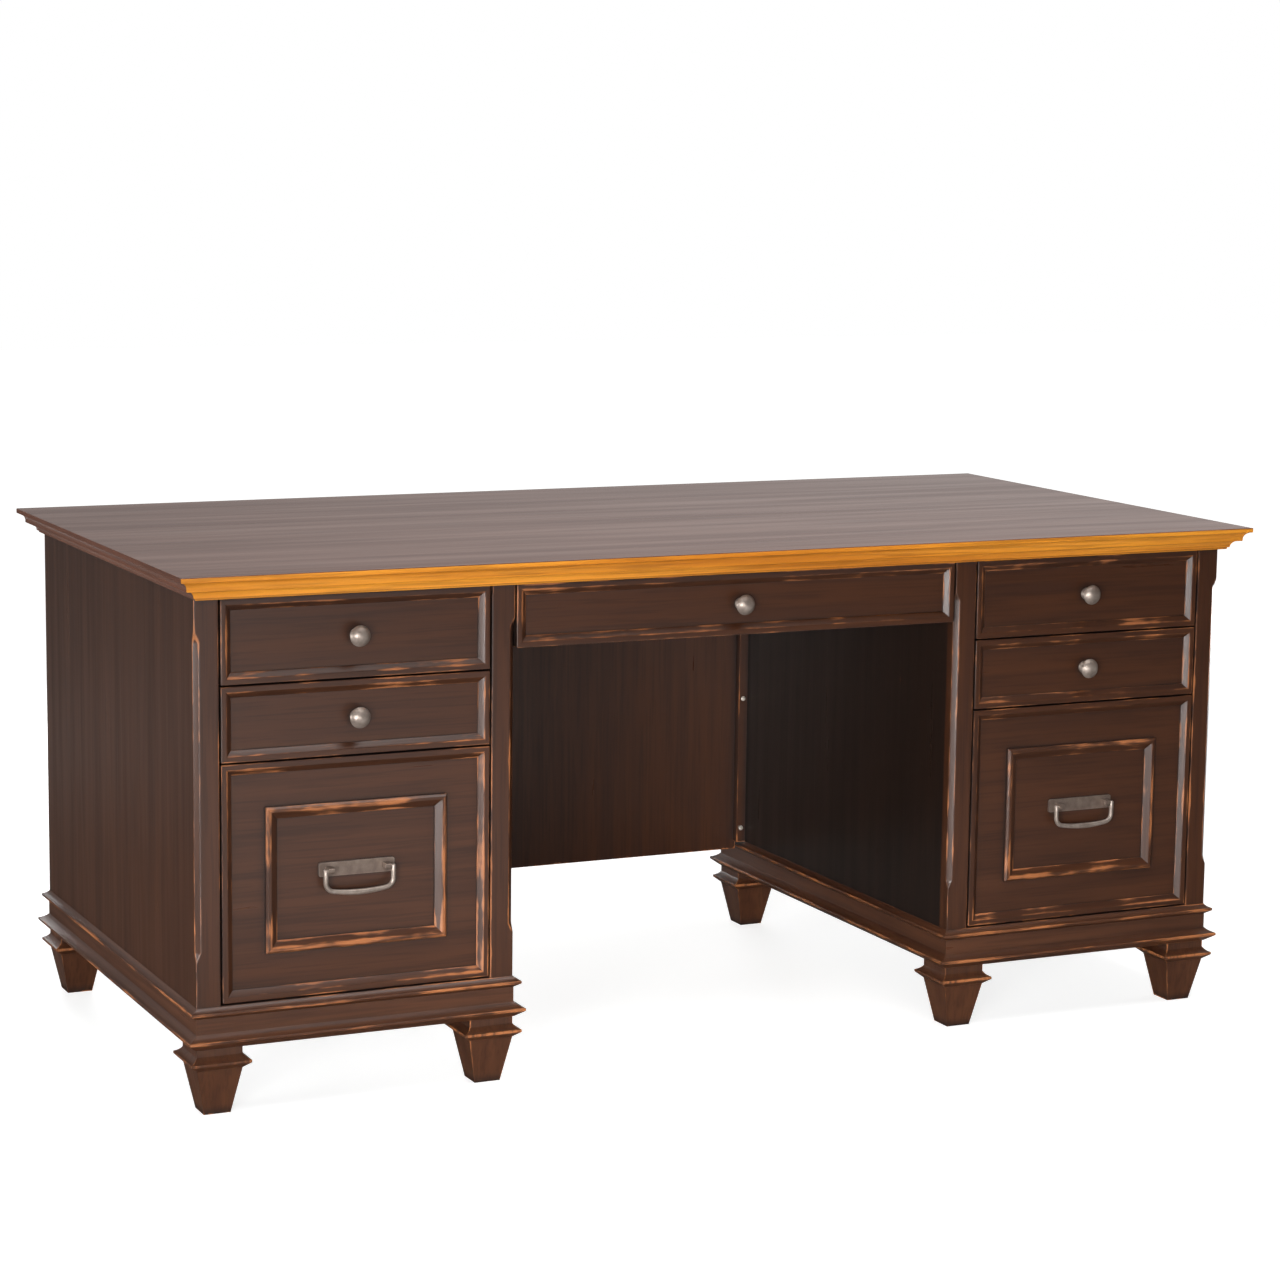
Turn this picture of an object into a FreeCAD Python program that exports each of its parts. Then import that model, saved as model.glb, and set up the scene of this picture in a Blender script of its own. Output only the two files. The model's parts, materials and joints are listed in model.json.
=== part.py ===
import FreeCAD, Part
import math
import os
from FreeCAD import Vector

# Double-pedestal executive desk, millimetres.
# X runs along the desk, the drawers face -Y, Z is up; the origin is on the floor under its centre.

# Desktop and its moulded edge
desk_width = 1727.0
desk_depth = 864.0
desk_height = 762.0
edge_strip_width = 45.0
lip_height = 7.0
upper_cove = 11.0
mid_fillet_height = 3.0
mid_fillet_step = 3.0
lower_cove = 11.0
foot_fillet_height = 3.0
foot_fillet_step = 3.0

# Pedestals
pedestal_width = 472.0
end_overhang = 31.5
front_overhang = 47.0
back_overhang = 47.0
side_thickness = 20.0
back_thickness = 12.0
bottom_thickness = 18.0
stile_width = 35.0
stile_thickness = 22.0
stile_chamfer = 7.0
chamfer_run_out = 14.0
chamfer_above_base = 64.0
chamfer_below_top = 48.0
rail_depth = 70.0
rail_thickness = 18.0

# Base moulding round the foot of each pedestal
base_height = 60.0
base_thickness = 22.0
band_step = 1.0
upper_bead_reach = 10.0
upper_bead_height = 16.0
lower_bead_reach = 15.0
lower_bead_height = 22.0
bead_nose = 3.5
bead_slope = 6.5
bead_hollow = 1.2

# Feet
foot_top_width = 66.0
foot_bottom_width = 39.0
foot_taper_height = 67.0
collar_height = 20.0
collar_reach = 10.5
neck_height = 10.0

# Drawer fronts
drawer_gap = 3.0
top_drawer_height = 118.0
middle_drawer_height = 105.0
centre_drawer_height = 90.0
field_thickness = 14.5
border_height = 7.5
border_crest = 8.0
border_slope = 8.0
border_quirk = 1.5
panel_margin = 48.0
panel_strip_width = 17.0
panel_strip_height = 8.0
panel_outer_step = 5.0
panel_crest_start = 3.0
panel_crest_end = 7.0
panel_inner_edge = 2.0

# Drawer boxes
box_depth = 520.0
box_wall = 12.0
box_bottom_thickness = 6.0
box_bottom_rise = 8.0
box_rise = 10.0
box_headroom = 3.0
file_box_drop = 60.0
file_rail_inset = 14.0
file_rail_thickness = 4.0
file_rail_height = 14.0

# Drawer slides
slide_length = 500.0
slide_setback = 2.0
slide_thickness = 13.0
slide_height = 45.0
slide_metal = 1.5
slide_tip_clearance = 1.0
slide_clearance = 0.3
slide_web_clearance = 0.5
slide_rise = 31.0
spacer_height = 60.0

# Knobs
knob_projection = 26.0
knob_head_radius = 15.0
knob_widest_height = 17.5
knob_neck_radius = 5.5
knob_neck_height = 8.5
knob_flare = 0.25
knob_rose_radius = 9.0
knob_rose_thickness = 2.5

# Bail pulls of the file drawers
pull_plate_width = 112.0
pull_plate_height = 20.0
pull_plate_thickness = 3.0
pull_plate_corner = 3.0
pull_rise = 8.5
pivot_reach = 12.0
knuckle_width = 8.0
knuckle_radius = 4.5
bail_inset = 6.0
bail_drop = 31.0
bail_corner = 14.0
bail_radius = 3.0
pin_radius = 2.2
pin_clearance = 0.05
bail_side_gap = 1.0

# Modesty panel in the knee space
modesty_recess = 56.0
modesty_thickness = 18.0
modesty_drop = 14.0
modesty_notch_clearance = 2.0
cleat_width = 16.0
cleat_depth = 14.0

# Screws of the cleats and of the desktop
screw_length = 28.0
screw_radius = 2.0
screw_head_radius = 4.0
screw_head_height = 2.6
screw_clearance = 0.05
cleat_screw_pitch = 225.0
cleat_screw_margin = 24.0
rail_screw_inset = 60.0

# Places worked out from the sizes above
top_thickness = lip_height + upper_cove + mid_fillet_height + lower_cove + foot_fillet_height
underside = desk_height - top_thickness
desk_front = -desk_depth / 2
desk_back = desk_depth / 2
base_bottom = foot_taper_height + collar_height + neck_height
base_top = base_bottom + base_height
pedestal_outer = desk_width / 2 - end_overhang
pedestal_inner = pedestal_outer - pedestal_width
pedestal_front = desk_front + front_overhang
pedestal_back = desk_back - back_overhang
pedestal_middle_x = (pedestal_outer + pedestal_inner) / 2
pedestal_middle_y = (pedestal_front + pedestal_back) / 2
pedestal_depth = pedestal_back - pedestal_front
carcass_front = pedestal_front + stile_thickness
field_face = pedestal_front + border_height
front_rear = field_face + field_thickness
border_width = border_crest + border_slope
spacer_thickness = stile_width - side_thickness
top_drawer_base = underside - drawer_gap - top_drawer_height
middle_drawer_base = top_drawer_base - drawer_gap - middle_drawer_height
file_drawer_base = base_top + drawer_gap
file_drawer_height = middle_drawer_base - drawer_gap - file_drawer_base
centre_drawer_base = underside - drawer_gap - centre_drawer_height
box_drop = rail_thickness - drawer_gap + box_headroom
flange_tip = slide_thickness - slide_metal - slide_tip_clearance
bail_width = pull_plate_width - 2 * bail_inset
modesty_front = pedestal_back - modesty_recess - modesty_thickness
modesty_bottom = base_top - modesty_drop
cleat_screw_count = int((underside - base_top - 2 * cleat_screw_margin) / cleat_screw_pitch) + 1
sides = (("left", -1), ("right", 1))

# The two small drawers of each pedestal: name, lower edge and height
small_drawers = (
    ("top", top_drawer_base, top_drawer_height),
    ("middle", middle_drawer_base, middle_drawer_height),
)


def board(x_places, y_places, z_places):
    x0, x1 = sorted(x_places)
    y0, y1 = sorted(y_places)
    z0, z1 = sorted(z_places)
    return Part.makeBox(x1 - x0, y1 - y0, z1 - z0, Vector(x0, y0, z0))


def section_face(start, runs):
    # A face across a moulding: (inset, height) points, where a pair of points is an arc's middle and end.
    edges = []
    here = Vector(0, *start)
    for run in runs:
        there = Vector(0, *run[-1])
        if len(run) == 2:
            edges.append(Part.Arc(here, Vector(0, *run[0]), there).toShape())
        else:
            edges.append(Part.LineSegment(here, there).toShape())
        here = there
    edges.append(Part.LineSegment(here, Vector(0, *start)).toShape())
    return Part.Face(Part.Wire(edges))


def prism(points, low, high):
    # An upright prism over a plan outline.
    corners = [Vector(x, y, low) for x, y in points]
    face = Part.Face(Part.makePolygon(corners + corners[:1]))
    return face.extrude(Vector(0, 0, high - low))


def mitred_strips(size_x, size_y, section, reach_out, reach_in):
    # Four strips of one section round a rectangle, in the order front, right, back, left.
    strips = []
    low = section.BoundBox.ZMin
    high = section.BoundBox.ZMax
    turns = ((0, size_x, size_y), (90, size_y, size_x), (180, size_x, size_y), (270, size_y, size_x))
    for turn, length, across in turns:
        half_out = length / 2 + reach_out
        half_in = length / 2 - reach_in
        bar = section.extrude(Vector(2 * half_out, 0, 0))
        bar.translate(Vector(-half_out, 0, 0))
        plan = [(-half_out, -reach_out), (half_out, -reach_out), (half_in, reach_in), (-half_in, reach_in)]
        strip = bar.common(prism(plan, low, high)).Solids[0]
        strip.translate(Vector(0, -across / 2, 0))
        strip.rotate(Vector(0, 0, 0), Vector(0, 0, 1), turn)
        strips.append(strip)
    return strips


def stand_up(shape, x, y, z):
    # Turns a shape made lying flat so that its top faces the front, and puts its origin at a place.
    shape.rotate(Vector(0, 0, 0), Vector(1, 0, 0), 90)
    shape.translate(Vector(x, y, z))
    return shape


def quarter_point(centre, radius, inward):
    # The middle of a quarter circle that starts above its centre and ends beside it.
    return (centre[0] + inward * radius * math.sqrt(0.5), centre[1] + radius * math.sqrt(0.5))


def hollow_point(start, end):
    # The middle of a slightly hollow slope between two points of a bead.
    run = math.hypot(end[0] - start[0], end[1] - start[1])
    across = (end[0] - start[0]) / run
    fall = (end[1] - start[1]) / run
    middle = ((start[0] + end[0]) / 2, (start[1] + end[1]) / 2)
    return (middle[0] - fall * bead_hollow, middle[1] + across * bead_hollow)


# Desktop

def desktop_edge_section():
    # Lip, cove, fillet, second cove and foot fillet, from the top edge down.
    upper_centre = (0, top_thickness - lip_height - upper_cove)
    fillet_foot = upper_centre[1] - mid_fillet_height
    lower_start = upper_cove + mid_fillet_step
    lower_centre = (lower_start, fillet_foot - lower_cove)
    foot = lower_start + lower_cove + foot_fillet_step
    return section_face((0, top_thickness), [
        [(0, top_thickness - lip_height)],
        [quarter_point(upper_centre, upper_cove, 1), (upper_cove, upper_centre[1])],
        [(upper_cove, fillet_foot)],
        [(lower_start, fillet_foot)],
        [quarter_point(lower_centre, lower_cove, 1), (lower_start + lower_cove, lower_centre[1])],
        [(foot, lower_centre[1])],
        [(foot, 0)],
        [(edge_strip_width, 0)],
        [(edge_strip_width, top_thickness)],
    ])


def desktop_edges():
    strips = mitred_strips(desk_width, desk_depth, desktop_edge_section(), 0, edge_strip_width)
    for strip in strips:
        strip.translate(Vector(0, 0, underside))
    return dict(zip(("front", "right", "back", "left"), strips))


def rail_screw_places():
    places = []
    reach = pedestal_width / 2 - side_thickness - rail_screw_inset
    z = underside - rail_thickness
    for name, side in sides:
        for y in (carcass_front + rail_depth / 2, pedestal_back - back_thickness - rail_depth / 2):
            for offset in (-reach, reach):
                places.append(Vector(side * pedestal_middle_x + offset, y, z))
    return places


def desktop_panel():
    x = desk_width / 2 - edge_strip_width
    y = desk_depth / 2 - edge_strip_width
    panel = board((-x, x), (-y, y), (underside, desk_height))
    return panel.cut(Part.makeCompound([screw_hole(place, Vector(0, 0, 1)) for place in rail_screw_places()]))


# Screws

def screw_hole(place, direction):
    start = place - direction * screw_clearance
    depth = screw_length + 2 * screw_clearance
    return Part.makeCylinder(screw_radius + screw_clearance, depth, start, direction)


def screw(place, direction):
    shank = Part.makeCylinder(screw_radius, screw_length, place, direction)
    head = Part.makeCone(screw_head_radius, screw_radius, screw_head_height, place, direction * -1)
    return shank.fuse(head).removeSplitter().Solids[0]


# Pedestals

def side_boards(side):
    y = (carcass_front, pedestal_back)
    z = (base_top, underside)
    outer = board((side * pedestal_outer, side * (pedestal_outer - side_thickness)), y, z)
    inner = board((side * pedestal_inner, side * (pedestal_inner + side_thickness)), y, z)
    return outer, inner


def back_panel(side):
    x = (side * (pedestal_outer - side_thickness), side * (pedestal_inner + side_thickness))
    return board(x, (pedestal_back - back_thickness, pedestal_back), (base_top, underside))


def bottom_panel(side):
    x = (side * (pedestal_outer - base_thickness), side * (pedestal_inner + base_thickness))
    y = (pedestal_front + base_thickness, pedestal_back - base_thickness)
    return board(x, y, (base_top - bottom_thickness, base_top))


def arris_cutter(x, facing):
    # Cuts a stopped chamfer on the upright arris at x, which faces left (-1) or right (1).
    depth = stile_chamfer * math.sqrt(0.5)
    low = base_top + chamfer_above_base
    high = underside - chamfer_below_top
    clear = stile_chamfer
    points = [(0, low), (-depth, low + chamfer_run_out), (-depth, high - chamfer_run_out), (0, high)]
    points += [(clear, high), (clear, low)]
    corners = [Vector(u, -2 * clear, z) for u, z in points]
    cutter = Part.Face(Part.makePolygon(corners + corners[:1])).extrude(Vector(0, 4 * clear, 0))
    cutter.rotate(Vector(0, 0, 0), Vector(0, 0, 1), math.degrees(math.atan2(-1, facing)))
    cutter.translate(Vector(x, pedestal_front, 0))
    return cutter


def stiles(side):
    y = (pedestal_front, carcass_front)
    z = (base_top, underside)
    outer = board((side * pedestal_outer, side * (pedestal_outer - stile_width)), y, z)
    inner = board((side * pedestal_inner, side * (pedestal_inner + stile_width)), y, z)
    outer = outer.cut(arris_cutter(side * pedestal_outer, side))
    inner = inner.cut(arris_cutter(side * pedestal_inner, -side))
    return Part.makeCompound([outer, inner])


def base_section():
    # Two beads with a flat band between them; inset is negative outside the pedestal's face.
    upper_tip = (-upper_bead_reach, base_height - bead_slope)
    upper_foot = (-band_step, base_height - upper_bead_height)
    lower_head = (-band_step, lower_bead_height)
    lower_tip = (-lower_bead_reach, lower_bead_height - bead_slope - bead_nose / 2)
    return section_face((base_thickness, 0), [
        [(base_thickness, base_height)],
        [(0, base_height)],
        [hollow_point((0, base_height), upper_tip), upper_tip],
        [(upper_tip[0], upper_tip[1] - bead_nose)],
        [upper_foot],
        [lower_head],
        [hollow_point(lower_head, lower_tip), lower_tip],
        [(lower_tip[0], lower_tip[1] - bead_nose)],
        [(-band_step, 0)],
    ])


def base_mouldings(side):
    strips = mitred_strips(pedestal_width, pedestal_depth, base_section(), lower_bead_reach, base_thickness)
    for strip in strips:
        strip.translate(Vector(side * pedestal_middle_x, pedestal_middle_y, base_bottom))
    return Part.makeCompound(strips)


def foot():
    # Square tapered foot with a collar and a neck, standing under its own centre.
    half_top = foot_top_width / 2
    half_bottom = foot_bottom_width / 2
    tip = half_top + collar_reach
    tip_high = foot_taper_height + collar_height - bead_slope - bead_nose / 2
    tip_low = tip_high - bead_nose
    collar_top = foot_taper_height + collar_height
    right = hollow_point((tip, tip_high), (half_top, collar_top))
    outline = section_face((-half_bottom, 0), [
        [(half_bottom, 0)],
        [(half_top, foot_taper_height)],
        [(tip, tip_low)],
        [(tip, tip_high)],
        [right, (half_top, collar_top)],
        [(half_top, base_bottom)],
        [(-half_top, base_bottom)],
        [(-half_top, collar_top)],
        [(-right[0], right[1]), (-tip, tip_high)],
        [(-tip, tip_low)],
        [(-half_top, foot_taper_height)],
    ])
    across = outline.extrude(Vector(2 * tip, 0, 0))
    across.translate(Vector(-tip, 0, 0))
    along = across.copy()
    along.rotate(Vector(0, 0, 0), Vector(0, 0, 1), 90)
    return across.common(along).Solids[0]


def feet():
    # Each foot's upper block stands inside a corner of the base moulding, under the bottom panel.
    made = []
    block_low = base_bottom
    block_high = base_top - bottom_thickness
    half = foot_top_width / 2
    for name, side in sides:
        for x, from_x in ((side * (pedestal_outer - half), side), (side * (pedestal_inner + half), -side)):
            for y, from_y in ((pedestal_front + half, -1), (pedestal_back - half, 1)):
                inner_x = (x - from_x * half, x + from_x * (half - base_thickness))
                inner_y = (y - from_y * half, y + from_y * (half - base_thickness))
                block = board(inner_x, inner_y, (block_low, block_high))
                leg = foot()
                leg.translate(Vector(x, y, 0))
                made.append(leg.fuse(block).removeSplitter().Solids[0])
    return Part.makeCompound(made)


def top_rails():
    made = []
    z = (underside - rail_thickness, underside)
    holes = Part.makeCompound([screw_hole(place, Vector(0, 0, 1)) for place in rail_screw_places()])
    for name, side in sides:
        x = (side * (pedestal_outer - side_thickness), side * (pedestal_inner + side_thickness))
        back = pedestal_back - back_thickness
        for y in ((carcass_front, carcass_front + rail_depth), (back - rail_depth, back)):
            made.append(board(x, y, z).cut(holes).Solids[0])
    return Part.makeCompound(made)


# Knee space

def cleat_screw_places():
    x = pedestal_inner - cleat_width / 2
    low = base_top + cleat_screw_margin
    y = modesty_front - cleat_depth
    places = []
    for name, side in sides:
        for n in range(cleat_screw_count):
            places.append(Vector(side * x, y, low + n * cleat_screw_pitch))
    return places


def cleat_screw_holes():
    return Part.makeCompound([screw_hole(place, Vector(0, 1, 0)) for place in cleat_screw_places()])


def modesty_panel():
    # Spans the knee space, notched at its lower corners to pass the base moulding.
    y = (modesty_front, modesty_front + modesty_thickness)
    panel = board((-pedestal_inner, pedestal_inner), y, (modesty_bottom, underside))
    notch = upper_bead_reach + modesty_notch_clearance
    for name, side in sides:
        x = (side * pedestal_inner, side * (pedestal_inner - notch))
        panel = panel.cut(board(x, y, (modesty_bottom, base_top + modesty_notch_clearance)))
    return panel.cut(cleat_screw_holes()).Solids[0]


def modesty_cleats():
    y = (modesty_front - cleat_depth, modesty_front)
    z = (base_top, underside)
    made = []
    for name, side in sides:
        cleat = board((side * pedestal_inner, side * (pedestal_inner - cleat_width)), y, z)
        made.append(cleat.cut(cleat_screw_holes()).Solids[0])
    return Part.makeCompound(made)


def assembly_screws():
    made = [screw(place, Vector(0, 0, 1)) for place in rail_screw_places()]
    made += [screw(place, Vector(0, 1, 0)) for place in cleat_screw_places()]
    return Part.makeCompound(made)


# Drawer slides

def channel(x, facing, z, half_height, web, flanges):
    # A steel channel along Y, with its web and flanges at their distances from x.
    y = (carcass_front + slide_setback, carcass_front + slide_setback + slide_length)
    inner = half_height - slide_metal
    plate = board((x + facing * web, x + facing * (web + slide_metal)), y, (z - half_height, z + half_height))
    edges = []
    for low, high in ((-half_height, -inner), (inner, half_height)):
        edges.append(board((x + facing * flanges[0], x + facing * flanges[1]), y, (z + low, z + high)))
    return plate.multiFuse(edges).removeSplitter().Solids[0]


def fixed_rail(x, facing, z):
    return channel(x, facing, z, slide_height / 2, 0, (slide_metal, flange_tip))


def runner(x, facing, z, nesting):
    # The drawer's own member; nesting is how many members its flanges lie inside.
    half = slide_height / 2 - nesting * (slide_metal + slide_clearance)
    web = slide_thickness - slide_metal
    return channel(x, facing, z, half, web, (nesting * (slide_metal + slide_web_clearance), web))


def middle_member(x, facing, z):
    half = slide_height / 2 - slide_metal - slide_clearance
    web = slide_metal + slide_web_clearance
    return channel(x, facing, z, half, web, (web + slide_metal, flange_tip))


def pedestal_opening(side):
    x = sorted((side * (pedestal_outer - stile_width), side * (pedestal_inner + stile_width)))
    return x[0], x[1]


def slide_height_of(base):
    return base + box_rise + slide_rise


def drawer_bays():
    # The opening and slide height of every drawer: three in each pedestal and one in the middle.
    bays = {}
    for name, side in sides:
        left, right = pedestal_opening(side)
        for drawer, base, height in small_drawers:
            bays[name + "_" + drawer] = (left, right, slide_height_of(base))
        bays[name + "_file"] = (left, right, slide_height_of(file_drawer_base))
    bays["centre"] = (-pedestal_inner, pedestal_inner, slide_height_of(centre_drawer_base))
    return bays


def slide_rails():
    made = []
    for left, right, z in drawer_bays().values():
        made += [fixed_rail(left, 1, z), fixed_rail(right, -1, z)]
    return Part.makeCompound(made)


def slide_spacers():
    # Wooden packing between the pedestal sides and the slides, flush with the stiles.
    made = []
    y = (carcass_front, carcass_front + slide_setback + slide_length)
    for name, (left, right, z) in drawer_bays().items():
        if name != "centre":
            span = (z - spacer_height / 2, z + spacer_height / 2)
            made.append(board((left - spacer_thickness, left), y, span))
            made.append(board((right, right + spacer_thickness), y, span))
    return Part.makeCompound(made)


# Drawers

def drawer_front(left, right, base, height):
    # A field board with a mitred border moulding planted round its face.
    width = right - left - 2 * drawer_gap
    centre_x = (left + right) / 2
    centre_z = base + height / 2
    field = board((left + drawer_gap, right - drawer_gap), (field_face, front_rear), (base, base + height))
    section = section_face((0, 0), [
        [(0, border_height)],
        [(border_crest, border_height)],
        [(border_width, border_quirk)],
        [(border_width, 0)],
    ])
    strips = mitred_strips(width, height, section, 0, border_width)
    return Part.makeCompound([field] + [stand_up(strip, centre_x, field_face, centre_z) for strip in strips])


def panel_moulding(left, right, base, height):
    # The mitred frame planted on a file drawer's field, an even margin inside the border.
    inset = border_width + panel_margin
    width = right - left - 2 * drawer_gap - 2 * inset
    centre_x = (left + right) / 2
    centre_z = base + height / 2
    section = section_face((0, 0), [
        [(0, panel_outer_step)],
        [(panel_crest_start, panel_strip_height)],
        [(panel_crest_end, panel_strip_height)],
        [(panel_strip_width, panel_inner_edge)],
        [(panel_strip_width, 0)],
    ])
    strips = mitred_strips(width, height - 2 * inset, section, 0, panel_strip_width)
    return Part.makeCompound([stand_up(strip, centre_x, field_face, centre_z) for strip in strips])


def box_places(left, right, base, height, drop):
    x = (left + slide_thickness, right - slide_thickness)
    y = (front_rear, front_rear + box_depth)
    z = (base + box_rise, base + height - drop)
    return x, y, z


def drawer_box(left, right, base, height, drop):
    x, y, z = box_places(left, right, base, height, drop)
    inner_x = (x[0] + box_wall, x[1] - box_wall)
    inner_y = (y[0] + box_wall, y[1] - box_wall)
    floor = z[0] + box_bottom_rise
    return Part.makeCompound([
        board((x[0], inner_x[0]), y, z),
        board((inner_x[1], x[1]), y, z),
        board(inner_x, (y[0], inner_y[0]), z),
        board(inner_x, (inner_y[1], y[1]), z),
        board(inner_x, inner_y, (floor, floor + box_bottom_thickness)),
    ])


def file_rails(left, right, base, height):
    # Two flat steel bars for hanging folders, resting on the box's front and back boards.
    x, y, z = box_places(left, right, base, height, file_box_drop)
    inset = box_wall + file_rail_inset
    made = []
    for edge, inward in ((x[0] + inset, 1), (x[1] - inset, -1)):
        made.append(board((edge, edge + inward * file_rail_thickness), y, (z[1], z[1] + file_rail_height)))
    return Part.makeCompound(made)


def runners(left, right, z, nesting):
    return Part.makeCompound([runner(left, 1, z, nesting), runner(right, -1, z, nesting)])


def knob(centre_x, centre_z):
    # Turned metal knob: a rose, a waisted neck and a domed head.
    under = (knob_neck_radius + knob_head_radius) / 2
    under_rise = knob_neck_height + (knob_widest_height - knob_neck_height) * knob_flare
    dome_height = knob_projection - knob_widest_height
    dome_radius = (knob_head_radius ** 2 + dome_height ** 2) / (2 * dome_height)
    half_turn = math.asin(knob_head_radius / dome_radius) / 2
    dome = (dome_radius * math.sin(half_turn), knob_projection - dome_radius * (1 - math.cos(half_turn)))
    outline = section_face((0, 0), [
        [(knob_rose_radius, 0)],
        [(knob_rose_radius, knob_rose_thickness)],
        [(knob_neck_radius, knob_neck_height)],
        [(under, under_rise), (knob_head_radius, knob_widest_height)],
        [dome, (0, knob_projection)],
    ])
    turned = outline.revolve(Vector(0, 0, 0), Vector(0, 0, 1), 360)
    return stand_up(turned, centre_x, field_face, centre_z)


def pull_pivot():
    return field_face - pull_plate_thickness - pivot_reach


def knuckle_outer():
    return bail_width / 2 - bail_radius - bail_side_gap


def pull_plate(centre_x, pivot_z):
    # A flat plate with two knuckles that carry the bail's pins.
    half_width = pull_plate_width / 2
    half_height = pull_plate_height / 2
    plate = board((-half_width, half_width), (-half_height, half_height), (0, pull_plate_thickness))
    upright = [edge for edge in plate.Edges if abs(edge.tangentAt(edge.FirstParameter).z) > 0.9]
    solid = plate.makeFillet(pull_plate_corner, upright)
    pivot_height = pull_plate_thickness + pivot_reach
    for offset in (-1, 1):
        x = sorted((offset * knuckle_outer(), offset * (knuckle_outer() - knuckle_width)))
        arm = board(x, (-knuckle_radius, knuckle_radius), (pull_plate_thickness, pivot_height))
        end = Vector(x[0], 0, pivot_height)
        nose = Part.makeCylinder(knuckle_radius, knuckle_width, end, Vector(1, 0, 0))
        bore = Part.makeCylinder(pin_radius + pin_clearance, knuckle_width, end, Vector(1, 0, 0))
        solid = solid.fuse(arm.fuse(nose).cut(bore))
    return stand_up(solid.removeSplitter().Solids[0], centre_x, field_face, pivot_z)


def bail(centre_x, pivot_z):
    # A bent rod that hangs from two inward pins.
    half = bail_width / 2
    low = -bail_drop
    bend = bail_corner * (1 - math.sqrt(0.5))
    leg_top = bail_radius
    path = Part.Wire([
        Part.LineSegment(Vector(-half, 0, leg_top), Vector(-half, 0, low + bail_corner)).toShape(),
        Part.Arc(
            Vector(-half, 0, low + bail_corner),
            Vector(-half + bend, 0, low + bend),
            Vector(-half + bail_corner, 0, low)).toShape(),
        Part.LineSegment(Vector(-half + bail_corner, 0, low), Vector(half - bail_corner, 0, low)).toShape(),
        Part.Arc(
            Vector(half - bail_corner, 0, low),
            Vector(half - bend, 0, low + bend),
            Vector(half, 0, low + bail_corner)).toShape(),
        Part.LineSegment(Vector(half, 0, low + bail_corner), Vector(half, 0, leg_top)).toShape(),
    ])
    ring = Part.Wire([Part.makeCircle(bail_radius, Vector(-half, 0, leg_top), Vector(0, 0, 1))])
    rod = path.makePipeShell([ring], True, True)
    pin_length = bail_radius + bail_side_gap + knuckle_width
    for offset in (-1, 1):
        start = Vector(offset * half, 0, 0)
        rod = rod.fuse(Part.makeCylinder(pin_radius, pin_length, start, Vector(-offset, 0, 0)))
    rod = rod.removeSplitter().Solids[0]
    rod.translate(Vector(centre_x, pull_pivot(), pivot_z))
    return rod


def small_drawer(name, left, right, base, height):
    z = slide_height_of(base)
    return {
        name + "_drawer_front": drawer_front(left, right, base, height),
        name + "_drawer_box": drawer_box(left, right, base, height, box_drop),
        name + "_drawer_runners": runners(left, right, z, 1),
        name + "_drawer_knob": knob((left + right) / 2, base + height / 2),
    }


def file_drawer(name, left, right, base, height):
    z = slide_height_of(base)
    centre_x = (left + right) / 2
    centre_z = base + height / 2
    pivot_z = centre_z + pull_rise
    return {
        name + "_drawer_front": drawer_front(left, right, base, height),
        name + "_drawer_panel_moulding": panel_moulding(left, right, base, height),
        name + "_drawer_box": drawer_box(left, right, base, height, file_box_drop),
        name + "_drawer_file_rails": file_rails(left, right, base, height),
        name + "_drawer_runners": runners(left, right, z, 2),
        name + "_slide_middles": Part.makeCompound([middle_member(left, 1, z), middle_member(right, -1, z)]),
        name + "_pull_plate": pull_plate(centre_x, pivot_z),
        name + "_pull_bail": bail(centre_x, pivot_z),
    }


def all_pieces():
    pieces = {"desktop_panel": desktop_panel()}
    for name, strip in desktop_edges().items():
        pieces["desktop_edge_" + name] = strip
    for name, side in sides:
        outer, inner = side_boards(side)
        pieces[name + "_outer_side"] = outer
        pieces[name + "_inner_side"] = inner
        pieces[name + "_back_panel"] = back_panel(side)
        pieces[name + "_bottom_panel"] = bottom_panel(side)
        pieces[name + "_front_stiles"] = stiles(side)
        pieces[name + "_base_mouldings"] = base_mouldings(side)
        left, right = pedestal_opening(side)
        for drawer, base, height in small_drawers:
            pieces.update(small_drawer(name + "_" + drawer, left, right, base, height))
        pieces.update(file_drawer(name + "_file", left, right, file_drawer_base, file_drawer_height))
    knee = (-pedestal_inner, pedestal_inner)
    pieces.update(small_drawer("centre", *knee, centre_drawer_base, centre_drawer_height))
    pieces["pedestal_top_rails"] = top_rails()
    pieces["feet"] = feet()
    pieces["modesty_panel"] = modesty_panel()
    pieces["modesty_cleats"] = modesty_cleats()
    pieces["assembly_screws"] = assembly_screws()
    pieces["slide_spacers"] = slide_spacers()
    pieces["drawer_slide_rails"] = slide_rails()
    return pieces


os.makedirs("parts", exist_ok=True)
for piece_name, piece in all_pieces().items():
    piece.exportStep("parts/" + piece_name + ".step")
    print(piece_name, len(piece.Solids), "solid(s)", round(piece.Volume / 1000.0, 1), "cm3")
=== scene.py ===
import json
import math
import random
import bmesh
import bpy
import numpy
from mathutils import Matrix, Vector
from mathutils.bvhtree import BVHTree


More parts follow.
